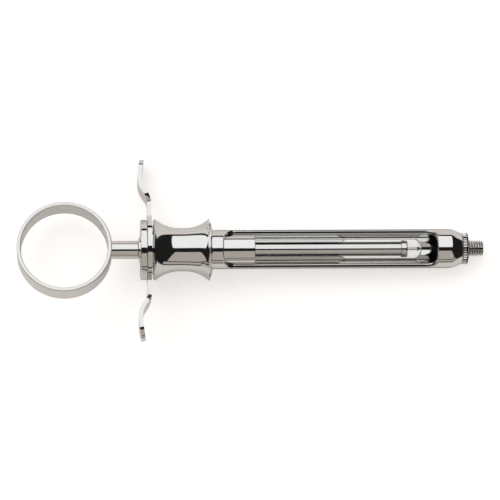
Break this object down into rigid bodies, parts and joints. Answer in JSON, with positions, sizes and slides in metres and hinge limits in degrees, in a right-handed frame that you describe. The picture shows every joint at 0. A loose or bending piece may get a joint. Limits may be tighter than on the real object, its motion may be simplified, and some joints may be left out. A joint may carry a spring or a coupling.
{
  "type": "dental aspirating syringe",
  "caption": "Metal breech-loading dental cartridge syringe with thumb ring, finger bar, waisted grip, sprung guide and harpoon plunger.",
  "frame": {"origin": "on the barrel's axis, where the needle's thread leaves the front face of the knurled flange", "axes": "+X along the barrel towards the needle, +Z out of the cartridge window, +Y to the left of the window seen from the ring"},
  "size_m": [0.1373, 0.0546, 0.0218],
  "materials": {
    "chrome_plate": "polished chrome plate on brass",
    "ring_plate": "finely satined chrome plate",
    "rod_steel": "polished stainless steel",
    "spring_steel": "drawn stainless spring wire"
  },
  "bodies": {
    "housing": {"barrel": "chrome_plate", "needle_adaptor": "chrome_plate", "grip_spool": "chrome_plate", "clamp_washer": "chrome_plate", "finger_bar": "chrome_plate", "end_cap": "chrome_plate", "rod_bush": "chrome_plate"},
    "spring_seat": {"spring_washer": "spring_steel", "guide_spring": "spring_steel"},
    "guide": {"guide_bearing": "chrome_plate"},
    "plunger": {"piston_rod": "rod_steel", "harpoon_holder": "rod_steel", "harpoon": "rod_steel", "ring_shank": "chrome_plate", "thumb_ring": "ring_plate"}
  },
  "joints": [
    {"name": "plunger_turn", "type": "hinge", "parent": "housing", "child": "spring_seat", "pos_m": [-0.0952, 0, 0], "axis": [1, 0, 0], "continuous": true},
    {"name": "guide_slide", "type": "slide", "parent": "spring_seat", "child": "guide", "axis": [1, 0, 0], "range_m": [-0.009, 0], "stiffness_N_per_m": 540, "springref_m": 0.006, "deforming": ["guide_spring"]},
    {"name": "plunger_slide", "type": "slide", "parent": "guide", "child": "plunger", "axis": [1, 0, 0], "range_m": [-0.0496, 0]}
  ]
}
